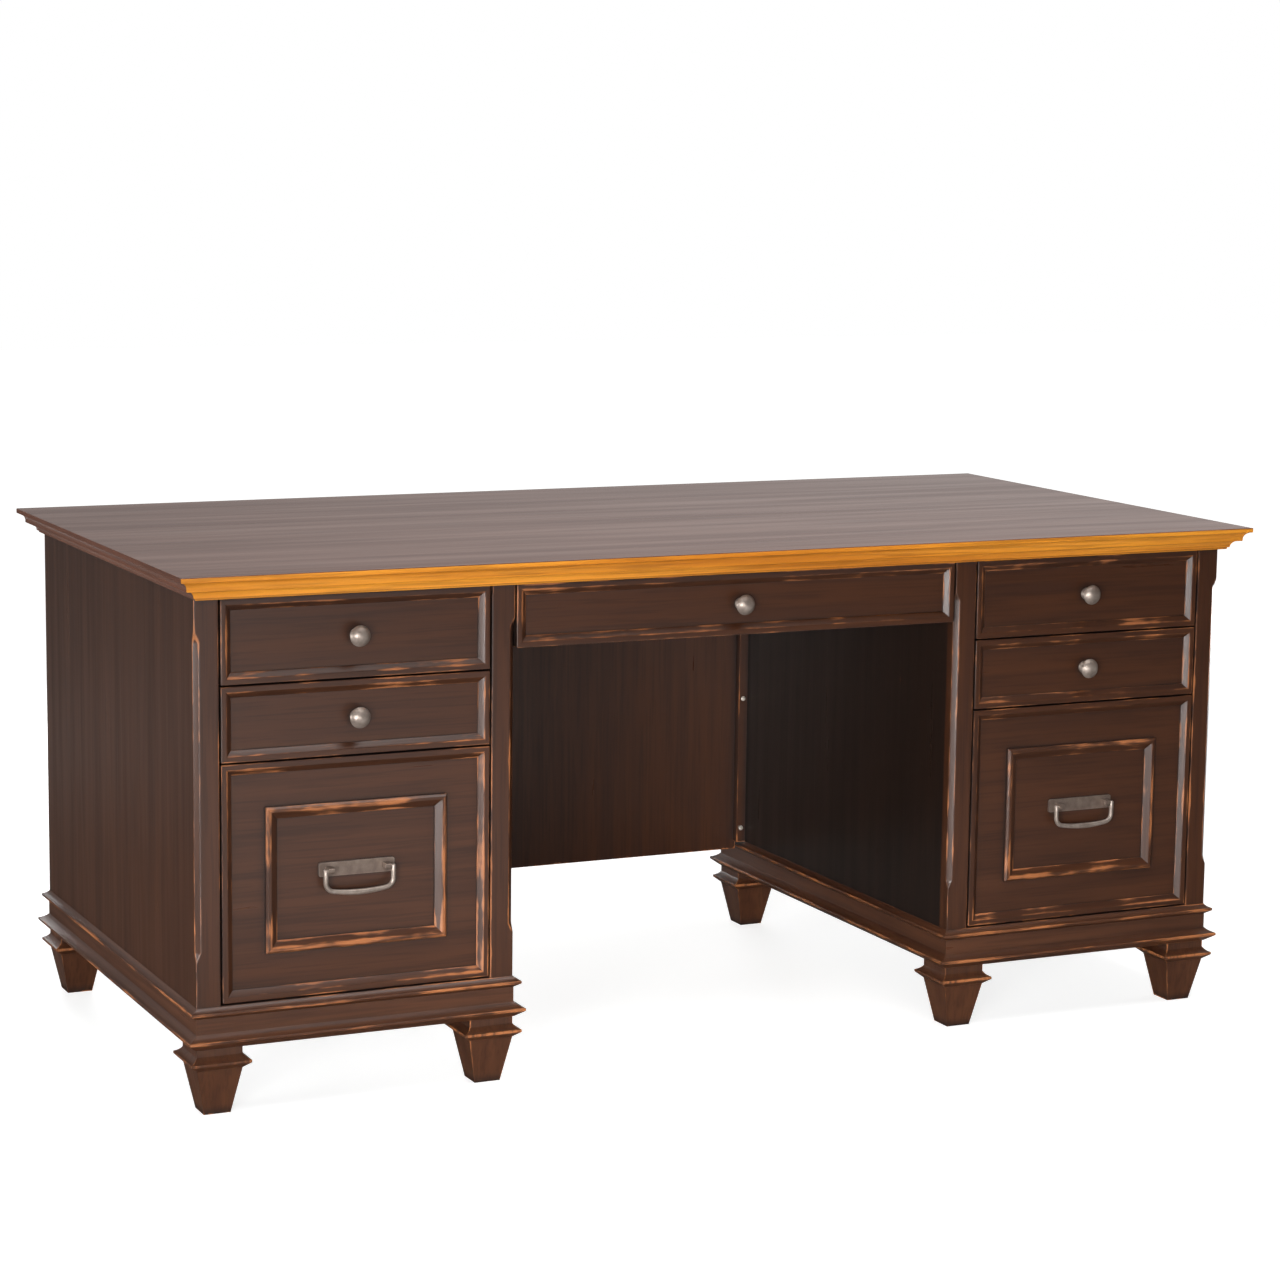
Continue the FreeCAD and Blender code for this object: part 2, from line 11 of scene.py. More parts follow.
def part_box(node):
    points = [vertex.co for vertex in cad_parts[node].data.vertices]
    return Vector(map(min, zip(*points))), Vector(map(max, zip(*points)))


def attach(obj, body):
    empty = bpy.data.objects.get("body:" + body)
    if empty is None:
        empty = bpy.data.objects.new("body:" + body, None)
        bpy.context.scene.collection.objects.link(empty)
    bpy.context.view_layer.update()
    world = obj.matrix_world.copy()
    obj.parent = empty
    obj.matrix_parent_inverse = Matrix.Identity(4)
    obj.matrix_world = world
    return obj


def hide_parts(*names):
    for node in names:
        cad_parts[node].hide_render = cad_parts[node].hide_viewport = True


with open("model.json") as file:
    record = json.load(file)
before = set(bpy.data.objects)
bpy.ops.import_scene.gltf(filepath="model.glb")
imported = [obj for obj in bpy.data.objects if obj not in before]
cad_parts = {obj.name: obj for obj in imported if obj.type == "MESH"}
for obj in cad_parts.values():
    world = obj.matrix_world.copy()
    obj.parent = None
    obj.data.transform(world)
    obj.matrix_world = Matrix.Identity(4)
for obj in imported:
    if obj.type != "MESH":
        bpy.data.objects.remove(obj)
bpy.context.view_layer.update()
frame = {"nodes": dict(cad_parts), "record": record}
cadNodes = frame["nodes"]
bodyOf = {}
for bodyName, members in frame["record"]["behaviour"]["bodies"].items():
    for member in members:
        bodyOf[member] = bodyName


# small tools for building shader trees

def tone(red, green, blue):
    # a colour as read off a screen, turned into Blender's linear values
    parts = []
    for part in (red, green, blue):
        level = part / 255.0
        parts.append(level / 12.92 if level <= 0.04045 else ((level + 0.055) / 1.055) ** 2.4)
    return (*parts, 1.0)


def addNode(tree, kind, sockets=None, **settings):
    node = tree.nodes.new(kind)
    for key, value in settings.items():
        setattr(node, key, value)
    for key, value in (sockets or {}).items():
        if isinstance(value, bpy.types.NodeSocket):
            tree.links.new(value, node.inputs[key])
        else:
            node.inputs[key].default_value = value
    return node


def arith(tree, operation, first, second=0.0, clamp=False):
    sockets = {0: first, 1: second}
    node = addNode(tree, "ShaderNodeMath", sockets, operation=operation, use_clamp=clamp)
    return node.outputs[0]


def remap(tree, value, low, high, toLow=0.0, toHigh=1.0):
    sockets = {"Value": value, "From Min": low, "From Max": high, "To Min": toLow, "To Max": toHigh}
    node = addNode(tree, "ShaderNodeMapRange", sockets, interpolation_type="SMOOTHSTEP", clamp=True)
    return node.outputs[0]


def blendColour(tree, factor, first, second, mode="MIX"):
    sockets = {0: factor, 6: first, 7: second}
    node = addNode(tree, "ShaderNodeMix", sockets, data_type="RGBA", blend_type=mode)
    return node.outputs[2]


def blendNumber(tree, factor, first, second):
    sockets = {0: factor, 2: first, 3: second}
    return addNode(tree, "ShaderNodeMix", sockets, data_type="FLOAT").outputs[0]


def stretchBy(tree, vector, amounts):
    sockets = {0: vector, 1: amounts}
    return addNode(tree, "ShaderNodeVectorMath", sockets, operation="MULTIPLY").outputs[0]


def noiseOf(tree, vector, scale, detail=3.0, roughness=0.55, distortion=0.0):
    sockets = {"Vector": vector, "Scale": scale, "Detail": detail,
               "Roughness": roughness, "Distortion": distortion}
    return addNode(tree, "ShaderNodeTexNoise", sockets).outputs[0]


def startFinish(name):
    material = bpy.data.materials.new(name)
    material.use_nodes = True
    tree = material.node_tree
    tree.nodes.clear()
    output = addNode(tree, "ShaderNodeOutputMaterial")
    shader = addNode(tree, "ShaderNodeBsdfPrincipled")
    tree.links.new(shader.outputs[0], output.inputs["Surface"])
    return material, tree, shader


def addBump(tree, shader, height, strength, depth):
    sockets = {"Strength": strength, "Distance": depth, "Height": height}
    bump = addNode(tree, "ShaderNodeBump", sockets)
    tree.links.new(bump.outputs[0], shader.inputs["Normal"])


# stained and rubbed woods; the grain runs along each board's own length

espressoLook = {
    "dark": tone(56, 30, 16), "light": tone(68, 38, 21), "pore": 0.76,
    "rub": tone(156, 96, 55), "rubDeep": tone(102, 61, 36), "rubFrom": 0.40,
    "figure": (2.0, 46.0, 46.0), "pores": (8.0, 260.0, 260.0),
    "roughness": (0.27, 0.38), "index": 1.48, "bump": 0.16,
}
# the pedestals' inner sides: the espresso painted darker, as painted shade for the shaded knee
# space
kneePaintedShadeLook = dict(espressoLook, dark=tone(25, 15, 10), light=tone(32, 20, 14))
stileLook = dict(espressoLook, rubFrom=0.36)
# base mouldings and feet: the espresso painted lighter, as painted light for the brighter light low
# down
baseLitLook = dict(espressoLook, dark=tone(68, 39, 24), light=tone(83, 50, 32))
desktopLook = {
    "dark": tone(101, 61, 45), "light": tone(125, 80, 60), "pore": 0.78,
    "rub": tone(170, 112, 68), "rubDeep": tone(128, 80, 52), "rubFrom": 0.68,
    "figure": (1.2, 27.0, 27.0), "pores": (5.0, 230.0, 230.0),
    "roughness": (0.20, 0.28), "index": 1.45, "bump": 0.06,
}
honeyLook = {
    "dark": tone(188, 111, 24), "light": tone(229, 151, 47), "pore": 0.74,
    "rub": tone(236, 164, 66), "rubDeep": tone(206, 130, 38), "rubFrom": 0.62,
    "figure": (1.6, 40.0, 40.0), "pores": (7.0, 260.0, 260.0),
    "roughness": (0.34, 0.46), "index": 1.36, "bump": 0.09,
    "brownFrom": (0.7606, 0.7612),  # heights where the honey turns into the desktop's brown
}
boxLook = {
    "dark": tone(190, 154, 112), "light": tone(216, 184, 142), "pore": 0.84,
    "rub": tone(222, 192, 150), "rubDeep": tone(200, 164, 120), "rubFrom": 0.70,
    "figure": (1.8, 48.0, 48.0), "pores": (8.0, 280.0, 280.0),
    "roughness": (0.42, 0.55), "index": 1.40, "bump": 0.10,
}

# what all the woods share: spans are levels of a noise, shares are how much each part counts
grainShape = {
    "figureSpan": (0.30, 0.70), "poreSpan": (0.36, 0.52), "glossSpan": (0.25, 0.75),
    "poreDepth": 0.6, "bumpDepth": 0.0008,
}
# darkening in corners and recesses: the part read from ambient occlusion is painted shade; the part
# along the seats of the mouldings is dark glaze in the joints
glazeAndShadeShape = {
    "reach": 0.014, "colour": tone(14, 9, 8), "dulling": 0.30,
    "hollow": (0.40, 1.0, 0.80, 0.0), "seat": (0.35, 1.0, 0.0, 0.88),
}
rubbing = {
    "patchScale": 11.0, "patchShare": 1.3, "streak": (15.0, 170.0, 170.0), "streakShare": 0.9,
    "edgeShare": 0.55, "middle": 1.1, "fade": 0.20, "pale": (0.06, 0.32),
    "dulling": 0.10, "depth": 0.5,
}


def woodSurface(tree, look):
    # colour, roughness and height of one stained wood
    grain = addNode(tree, "ShaderNodeAttribute", attribute_name="woodCoord").outputs["Vector"]
    wear = addNode(tree, "ShaderNodeAttribute", attribute_name="wear").outputs["Fac"]
    glaze = addNode(tree, "ShaderNodeAttribute", attribute_name="glaze").outputs["Fac"]
    place = addNode(tree, "ShaderNodeTexCoord").outputs["Object"]
    figure = noiseOf(tree, stretchBy(tree, grain, look["figure"]), 1.0,
                     detail=5.0, roughness=0.58, distortion=0.25)
    pores = noiseOf(tree, stretchBy(tree, grain, look["pores"]), 1.0, detail=2.0, roughness=0.5)
    figured = remap(tree, figure, *grainShape["figureSpan"])
    colour = blendColour(tree, figured, look["dark"], look["light"])
    poreLine = remap(tree, pores, *grainShape["poreSpan"], look["pore"], 1.0)
    poreGrey = addNode(tree, "ShaderNodeCombineColor", {0: poreLine, 1: poreLine, 2: poreLine})
    colour = blendColour(tree, 1.0, colour, poreGrey.outputs[0], "MULTIPLY")
    # darker and duller in the corners: painted shade from ambient occlusion, and dark glaze along
    # the joint where a moulding sits on its board
    reach = {"Distance": glazeAndShadeShape["reach"]}
    hollow = addNode(tree, "ShaderNodeAmbientOcclusion", reach, samples=6).outputs["AO"]
    glazeAndPaintedShade = arith(tree, "MAXIMUM", remap(tree, hollow, *glazeAndShadeShape["hollow"]),
                   remap(tree, glaze, *glazeAndShadeShape["seat"]))
    colour = blendColour(tree, glazeAndPaintedShade, colour, glazeAndShadeShape["colour"])
    # the stain is rubbed through in streaks and patches along the outer edges
    patch = noiseOf(tree, place, rubbing["patchScale"], detail=3.0, roughness=0.6)
    streak = noiseOf(tree, stretchBy(tree, grain, rubbing["streak"]), 1.0,
                     detail=3.0, roughness=0.6)
    chance = arith(tree, "ADD", arith(tree, "MULTIPLY", patch, rubbing["patchShare"]),
                   arith(tree, "MULTIPLY", streak, rubbing["streakShare"]))
    score = arith(tree, "ADD", arith(tree, "MULTIPLY", wear, rubbing["edgeShare"]),
                  arith(tree, "SUBTRACT", chance, rubbing["middle"]))
    start = look["rubFrom"]
    worn = remap(tree, score, start, start + rubbing["fade"])
    pale = remap(tree, score, start + rubbing["pale"][0], start + rubbing["pale"][1])
    colour = blendColour(tree, worn, colour, blendColour(tree, pale, look["rubDeep"], look["rub"]))
    smoothest, roughest = look["roughness"]
    rough = remap(tree, figure, *grainShape["glossSpan"], roughest, smoothest)
    rough = arith(tree, "ADD", rough, arith(tree, "MULTIPLY", worn, rubbing["dulling"]))
    rough = arith(tree, "ADD", rough, arith(tree, "MULTIPLY", glazeAndPaintedShade, glazeAndShadeShape["dulling"]))
    height = arith(tree, "SUBTRACT", arith(tree, "MULTIPLY", pores, grainShape["poreDepth"]),
                   arith(tree, "MULTIPLY", worn, rubbing["depth"]))
    return colour, rough, height


def woodFinish(name, look):
    material, tree, shader = startFinish(name)
    colour, rough, height = woodSurface(tree, look)
    tree.links.new(colour, shader.inputs["Base Color"])
    tree.links.new(rough, shader.inputs["Roughness"])
    addBump(tree, shader, height, look["bump"], grainShape["bumpDepth"])
    shader.inputs["IOR"].default_value = look["index"]
    return material


def frontEdgeFinish(name):
    # honey stain on the moulded face, the desktop's own brown on its top
    material, tree, shader = startFinish(name)
    honeyColour, honeyRough, honeyHeight = woodSurface(tree, honeyLook)
    brownColour, brownRough, brownHeight = woodSurface(tree, desktopLook)
    place = addNode(tree, "ShaderNodeTexCoord").outputs["Object"]
    level = addNode(tree, "ShaderNodeSeparateXYZ", {0: place}).outputs[2]
    upper = remap(tree, level, *honeyLook["brownFrom"])
    colour = blendColour(tree, upper, honeyColour, brownColour)
    tree.links.new(colour, shader.inputs["Base Color"])
    rough = blendNumber(tree, upper, honeyRough, brownRough)
    tree.links.new(rough, shader.inputs["Roughness"])
    addBump(tree, shader, honeyHeight, honeyLook["bump"], grainShape["bumpDepth"])
    shader.inputs["IOR"].default_value = honeyLook["index"]
    return material


# metals of the pulls, slides and screws

pewterLook = {
    "dark": tone(128, 115, 106), "bright": tone(178, 165, 155), "brush": (120.0, 120.0, 120.0),
    "roughness": (0.33, 0.42), "metal": 0.55, "bump": 0.04,
}
# the plates: a darker, browner copy of the pewter, a painted reflection of the dark wood around
# them
plateWoodReflectionLook = {
    "dark": tone(104, 89, 80), "bright": tone(140, 124, 113), "brush": (300.0, 40.0, 40.0),
    "roughness": (0.36, 0.46), "metal": 0.55, "bump": 0.05,
}
screwLook = {
    "dark": tone(196, 186, 174), "bright": tone(228, 220, 210), "brush": (120.0, 120.0, 120.0),
    "roughness": (0.30, 0.42), "metal": 0.35, "bump": 0.04,
}
steelLook = {
    "dark": tone(150, 152, 155), "bright": tone(186, 188, 190), "brush": (500.0, 4.0, 500.0),
    "roughness": (0.30, 0.40), "metal": 0.6, "bump": 0.05,
}
metalShape = {
    "mottleScale": 90.0, "mottle": (0.25, 0.75, 0.0, 0.6), "edgeReach": 0.0016,
    "edgeSpan": (0.05, 0.50), "edgeShare": 0.4, "lineSpan": (0.30, 0.70), "bumpDepth": 0.0003,
}


def metalFinish(name, look):
    material, tree, shader = startFinish(name)
    place = addNode(tree, "ShaderNodeTexCoord").outputs["Object"]
    mottle = noiseOf(tree, place, metalShape["mottleScale"], detail=3.0, roughness=0.55)
    lines = noiseOf(tree, stretchBy(tree, place, look["brush"]), 1.0, detail=2.0, roughness=0.5)
    # outer edges are polished a little brighter
    inside = addNode(tree, "ShaderNodeAmbientOcclusion", {"Distance": metalShape["edgeReach"]},
                     samples=6, inside=True, only_local=True)
    outer = arith(tree, "SUBTRACT", 1.0, inside.outputs["AO"])
    polished = arith(tree, "MULTIPLY", remap(tree, outer, *metalShape["edgeSpan"]),
                     metalShape["edgeShare"])
    bright = arith(tree, "ADD", remap(tree, mottle, *metalShape["mottle"]), polished, clamp=True)
    colour = blendColour(tree, bright, look["dark"], look["bright"])
    tree.links.new(colour, shader.inputs["Base Color"])
    rough = remap(tree, lines, *metalShape["lineSpan"], *look["roughness"])
    tree.links.new(rough, shader.inputs["Roughness"])
    addBump(tree, shader, lines, look["bump"], metalShape["bumpDepth"])
    shader.inputs["Metallic"].default_value = look["metal"]
    return material


finishes = {
    "espresso": woodFinish("rubbedEspresso", espressoLook),
    "knee": woodFinish("kneeSidePaintedShade", kneePaintedShadeLook),
    "stile": woodFinish("rubbedStile", stileLook),
    "base": woodFinish("rubbedBasePaintedLight", baseLitLook),
    "desktop": woodFinish("desktopBrown", desktopLook),
    "honey": frontEdgeFinish("honeyMoulding"),
    "box": woodFinish("paleDrawerWood", boxLook),
    "pewter": metalFinish("antiquePewter", pewterLook),
    "plate": metalFinish("pewterPaintedReflection", plateWoodReflectionLook),
    "screw": metalFinish("nickelScrew", screwLook),
    "steel": metalFinish("zincSteel", steelLook),
}
print("finishes made:", ", ".join(finishes))


def placeDressed(node, mesh, finish, sharpFrom):
    # the new mesh moves with its CAD node's body and stands for that node
    mesh.shade_smooth()
    mesh.set_sharp_from_angle(angle=sharpFrom)
    mesh.materials.append(finishes[finish])
    piece = bpy.data.objects.new(node + "_dressed", mesh)
    bpy.context.scene.collection.objects.link(piece)
    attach(piece, bodyOf[node])
    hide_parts(node)
    return piece


# each wooden piece: its finish, how far its edges are eased,
# and the axis of its grain where that isn't its longest side

woodPieces = {
    "desktop_panel": ("desktop", 0.0006, None),
    "desktop_edge_front": ("honey", 0.0009, None),
    "desktop_edge_right": ("desktop", 0.0009, None),
    "desktop_edge_back": ("desktop", 0.0009, None),
    "desktop_edge_left": ("desktop", 0.0009, None),
    "pedestal_top_rails": ("espresso", 0.0008, None),
    "feet": ("base", 0.0012, 2),
    "modesty_panel": ("espresso", 0.0010, 2),
    "modesty_cleats": ("espresso", 0.0010, None),
    "slide_spacers": ("box", 0.0006, None),
    "centre_drawer_front": ("espresso", 0.0010, None),
    "centre_drawer_box": ("box", 0.0008, None),
}
for side in ("left", "right"):
    woodPieces[side + "_outer_side"] = ("espresso", 0.0010, 2)
    # inner sides take the darker copy of the espresso: painted shade of the knee space
    woodPieces[side + "_inner_side"] = ("knee", 0.0010, 2)
    woodPieces[side + "_back_panel"] = ("espresso", 0.0008, 2)
    woodPieces[side + "_bottom_panel"] = ("espresso", 0.0008, None)
    woodPieces[side + "_front_stiles"] = ("stile", 0.0012, None)
    woodPieces[side + "_base_mouldings"] = ("base", 0.0010, None)
    woodPieces[side + "_file_drawer_panel_moulding"] = ("espresso", 0.0009, None)
    for drawer in ("top", "middle", "file"):
        woodPieces[side + "_" + drawer + "_drawer_front"] = ("espresso", 0.0010, None)
        woodPieces[side + "_" + drawer + "_drawer_box"] = ("box", 0.0008, None)

edgeWear = {
    "reach": 0.004,  # how far from an edge the stain can be rubbed through
    "across": 0.56, "upright": 0.42,  # rubbing on the sloped borders of the drawer fronts
    "sharp": math.radians(22),  # an edge this sharp is eased and rubbed
}
desktopTop = {"level": 0.7614, "grainStart": (7.0, 3.0)}  # one run of grain over panel and edges

# how closely the boards' own lines are matched, in metres and radians
fine = {
    "weldGrid": 200000, "flat": math.radians(0.4), "shading": math.radians(34),
    "besideEdge": 0.0012, "offFace": 0.00025, "onEdge": 0.00001, "onFace": 0.00002,
    "cut": 0.000002, "samePlane": 0.0012,
}


def closedBoards(mesh):
    # a piece lists its boards one after another;
    # a board is whole when every edge has found its partner
    spots = {}
    points = []
    lookup = []
    for vert in mesh.vertices:
        key = tuple(round(part * fine["weldGrid"]) for part in vert.co)
        if key not in spots:
            spots[key] = len(points)
            points.append(vert.co.copy())
        lookup.append(spots[key])
    boards = []
    faces = []
    single = set()
    for polygon in mesh.polygons:
        corners = [lookup[index] for index in polygon.vertices]
        if len(set(corners)) == len(corners):
            faces.append(corners)
        for first, second in zip(corners, corners[1:] + corners[:1]):
            if first == second:
                continue
            if (second, first) in single:
                single.discard((second, first))
            else:
                single.add((first, second))
        if not single:
            boards.append(faces)
            faces = []
    return points, boards


def boardShape(points, faces):
    # one board with its flat faces whole again
    shape = bmesh.new()
    verts = {index: shape.verts.new(points[index]) for face in faces for index in face}
    for face in faces:
        shape.faces.new([verts[index] for index in face])
    bmesh.ops.dissolve_limit(shape, angle_limit=fine["flat"], verts=shape.verts, edges=shape.edges)
    shape.normal_update()
    return shape


def gatherBoards():
    # the boards of each wooden piece, and all of them together for asking what lies in a board
    parts = {}
    trees, lows, highs = [], [], []
    for node in woodPieces:
        points, boards = closedBoards(cadNodes[node].data)
        for faces in boards:
            shape = boardShape(points, faces)
            parts.setdefault(node, []).append((shape, len(trees)))
            spots = numpy.array([vert.co[:] for vert in shape.verts])
            trees.append(BVHTree.FromBMesh(shape))
            lows.append(spots.min(0))
            highs.append(spots.max(0))
    return parts, {"trees": trees, "lows": numpy.array(lows), "highs": numpy.array(highs)}


def isCovered(point, owner, solids):
    # whether a point lies inside a board other than its owner
    near = ((solids["lows"] <= point[:]) & (solids["highs"] >= point[:])).all(1)
    for number in numpy.nonzero(near)[0]:
        if number == owner:
            continue
        spot, normal, face, gap = solids["trees"][number].find_nearest(point)
        if spot is not None and (point - spot).dot(normal) < 0.0:
            return True
    return False


def isSharp(edge):
    return len(edge.link_faces) == 2 and edge.calc_face_angle() > edgeWear["sharp"]


def freeEdges(shape, owner, solids):
    # outer edges with nothing fitted against them, each with the run of its two faces
    picked = []
    for edge in shape.edges:
        if not isSharp(edge) or not edge.is_convex:
            continue
        start, end = edge.verts[0].co.copy(), edge.verts[1].co.copy()
        middle = (start + end) / 2
        along = (end - start).normalized()
        runs = []
        for face in edge.link_faces:
            inward = face.normal.cross(along)
            if inward.dot(face.calc_center_median() - middle) < 0.0:
                inward = -inward
            probe = middle + inward * fine["besideEdge"] + face.normal * fine["offFace"]
            if isCovered(probe, owner, solids):
                break
            width = max((vert.co - start).dot(inward) for vert in face.verts)
            runs.append((face.normal.copy(), inward, width))
        if len(runs) == 2:
            picked.append((start, end, runs))
    return picked


def edgeGaps(points, edges):
    # how far each point lies from the nearest of these edges
    if not edges or not len(points):
        return numpy.ones(len(points))
    spots = numpy.array(points)[:, None, :]
    starts = numpy.array([edge[0][:] for edge in edges])[None, :, :]
    runs = numpy.array([(edge[1] - edge[0])[:] for edge in edges])[None, :, :]
    share = ((spots - starts) * runs).sum(2) / (runs * runs).sum(2)
    away = spots - starts - runs * numpy.clip(share, 0.0, 1.0)[:, :, None]
    return numpy.sqrt((away * away).sum(2)).min(1)


def addWearLines(shape, edges):
    # lines beside the outer edges, where the rubbing fades out
    reach = edgeWear["reach"]
    done = set()
    for start, end, runs in edges:
        for normal, inward, width in runs:
            if width < reach * 1.05:  # a face too narrow for a line
                continue
            key = tuple(round(part, 3) for part in (*normal, *inward))
            key += (round(normal.dot(start), 5), round(inward.dot(start), 5))
            if key in done:
                continue
            done.add(key)
            parts = set()
            for face in shape.faces:
                off = abs((face.verts[0].co - start).dot(normal))
                if face.normal.dot(normal) > 0.9999 and off < fine["onFace"]:
                    parts.add(face)
                    parts.update(face.edges)
                    parts.update(face.verts)
            bmesh.ops.bisect_plane(shape, geom=list(parts), dist=fine["cut"],
                                   plane_co=start + inward * reach, plane_no=inward)
    shape.normal_update()


def easeEdges(shape, edges, width):
    sharp = [edge for edge in shape.edges if isSharp(edge)]
    middles = [((edge.verts[0].co + edge.verts[1].co) / 2)[:] for edge in sharp]
    gaps = edgeGaps(middles, edges)
    picked = [edge for edge, gap in zip(sharp, gaps) if gap < fine["onEdge"]]
    if picked:
        bmesh.ops.bevel(shape, geom=picked, offset=width, offset_type="OFFSET", segments=2,
                        profile=0.5, affect="EDGES", clamp_overlap=True)
    shape.normal_update()


def wearOf(shape, edges):
    # for every face corner: 1 on an outer edge of its face, 0 from the wear lines inwards
    shape.faces.index_update()
    owners = numpy.array([face.index for face in shape.faces for vert in face.verts])
    if not edges:
        return [0.0] * len(owners)
    spots = numpy.array([vert.co[:] for face in shape.faces for vert in face.verts])
    normals = numpy.array([face.normal[:] for face in shape.faces])
    corners = numpy.array([face.verts[0].co[:] for face in shape.faces])
    levels = (normals * corners).sum(1)[:, None]
    starts = numpy.array([edge[0][:] for edge in edges])
    ends = numpy.array([edge[1][:] for edge in edges])
    off = numpy.maximum(abs(normals @ starts.T - levels), abs(normals @ ends.T - levels))
    runs = ends - starts
    batch = 3000  # corners handled at a time
    nearest = []
    for first in range(0, len(spots), batch):
        part = spots[first:first + batch, None, :] - starts[None, :, :]
        share = numpy.clip((part * runs).sum(2) / (runs * runs).sum(1), 0.0, 1.0)
        away = numpy.linalg.norm(part - runs[None, :, :] * share[:, :, None], axis=2)
        away[off[owners[first:first + batch]] > fine["samePlane"]] = 1.0
        nearest += list(away.min(1))
    return [max(0.0, 1.0 - gap / edgeWear["reach"]) for gap in nearest]


def slopeOf(face):
    # borders that slope towards a field are brushed a little by hand
    steep = [abs(part) for part in face.normal]
    if max(steep) > 0.97 or face.normal.y > -0.2:  # flat faces, or not turned to the front
        return 0.0
    return edgeWear["across"] if steep[2] > steep[0] else edgeWear["upright"]


def seatOf(shape, owner, solids):
    # the corners of a moulding that lie on the board under it, where dark glaze gathers
    seats = set()
    for face in shape.faces:
        probe = face.calc_center_median() + face.normal * fine["offFace"]
        if face.normal.y > 0.99 and isCovered(probe, owner, solids):
            seats.update(face.verts)
    return seats


def grainOf(shape, grainAxis, chance):
    # a board's own grain coordinates run along its length first
    spans = []
    for axis in range(3):
        places = [vert.co[axis] for vert in shape.verts]
        spans.append(max(places) - min(places))
    first = spans.index(max(spans)) if grainAxis is None else grainAxis
    order = [first] + [axis for axis in range(3) if axis != first]
    offset = Vector((chance.uniform(0, 40), chance.uniform(0, 40), chance.uniform(0, 40)))
    return order, offset


def addBoard(dress, node, shape, owner, solids, chance):
    finish, ease, grainAxis = woodPieces[node]
    edges = freeEdges(shape, owner, solids)
    order, offset = grainOf(shape, grainAxis, chance)
    if finish != "box":
        addWearLines(shape, edges)
    easeEdges(shape, edges, ease)
    shape.verts.index_update()
    base = len(dress["verts"])
    dress["verts"] += [vert.co[:] for vert in shape.verts]
    wear = wearOf(shape, edges)
    seats = set()
    if node.endswith(("_drawer_front", "_panel_moulding")):
        seats = seatOf(shape, owner, solids)
        least = [slopeOf(face) for face in shape.faces for vert in face.verts]
        wear = [max(pair) for pair in zip(wear, least)]
    dress["wear"] += wear
    startX, startY = desktopTop["grainStart"]
    for face in shape.faces:
        dress["faces"].append([vert.index + base for vert in face.verts])
        dress["glaze"] += [1.0 if vert in seats else 0.0 for vert in face.verts]
        high = face.normal.z > 0.9 and face.calc_center_median().z > desktopTop["level"]
        for vert in face.verts:
            if high and node.startswith("desktop"):
                spot = (vert.co.x + startX, vert.co.y + startY, 0.0)
            else:
                spot = Vector([vert.co[axis] for axis in order]) + offset
            dress["grain"] += spot[:]


def dressWood():
    parts, solids = gatherBoards()
    for node, (finish, ease, grainAxis) in woodPieces.items():
        chance = random.Random(node)
        dress = {"verts": [], "faces": [], "grain": [], "wear": [], "glaze": []}
        for shape, owner in parts[node]:
            addBoard(dress, node, shape, owner, solids, chance)
            shape.free()
        mesh = bpy.data.meshes.new(node + "_dressed")
        mesh.from_pydata(dress["verts"], [], dress["faces"])
        grain = mesh.attributes.new("woodCoord", "FLOAT_VECTOR", "CORNER")
        grain.data.foreach_set("vector", dress["grain"])
        for shade in ("wear", "glaze"):
            values = mesh.attributes.new(shade, "FLOAT", "CORNER")
            values.data.foreach_set("value", dress[shade])
        piece = placeDressed(node, mesh, finish, fine["shading"])
        firm = piece.modifiers.new("firmFaces", "WEIGHTED_NORMAL")
        firm.keep_sharp = True
    print("wood dressed:", len(woodPieces), "pieces of", len(solids["trees"]), "boards")


dressWood()


# the bail pulls, with a grip that bows down and swells towards its middle

bailShape = {
    "half": 0.050, "top": 0.003, "drop": 0.0325, "corner": 0.013, "bow": 9.0,
    "legRadius": 0.0034, "gripRadius": 0.0041, "sides": 20, "bowSteps": 12, "cornerSteps": 10,
    "legEnd": ((0.0016, 1.0), (0.0006, 0.86), (0.0, 0.55)),  # below the top, share of the radius
    "pinRadius": 0.0022, "pinLength": 0.012, "pinSeat": 0.001, "shading": math.radians(40),
}


def bailPath():
    # places across and up from the pins, from the top of one leg round to the other,
    # each with the rod's radius
    half, corner, top = bailShape["half"], bailShape["corner"], bailShape["top"]
    drop, bowSteps, cornerSteps = bailShape["drop"], bailShape["bowSteps"], bailShape["cornerSteps"]
    slope = math.radians(bailShape["bow"])
    reach = half - corner + corner * math.sin(slope)
    bend = reach / math.sin(slope)
    low = bend * (1 - math.cos(slope)) - drop
    turn = low + corner * math.cos(slope)
    leg, swell = bailShape["legRadius"], bailShape["gripRadius"] - bailShape["legRadius"]
    spots = []
    for step in range(bowSteps + 1):
        angle = slope * step / bowSteps
        across = bend * math.sin(angle)
        swelling = math.cos(math.pi / 2 * across / reach) ** 2
        spots.append((across, bend * (1 - math.cos(angle)) - drop, leg + swell * swelling))
    for step in range(1, cornerSteps + 1):
        angle = slope + (math.pi / 2 - slope) * step / cornerSteps
        across = half - corner + corner * math.sin(angle)
        spots.append((across, turn - corner * math.cos(angle), leg))
    spots.append((half, turn / 2, leg))
    for below, share in bailShape["legEnd"]:
        spots.append((half, top - below, leg * share))
    return [(-across, up, radius) for across, up, radius in reversed(spots[1:])] + spots


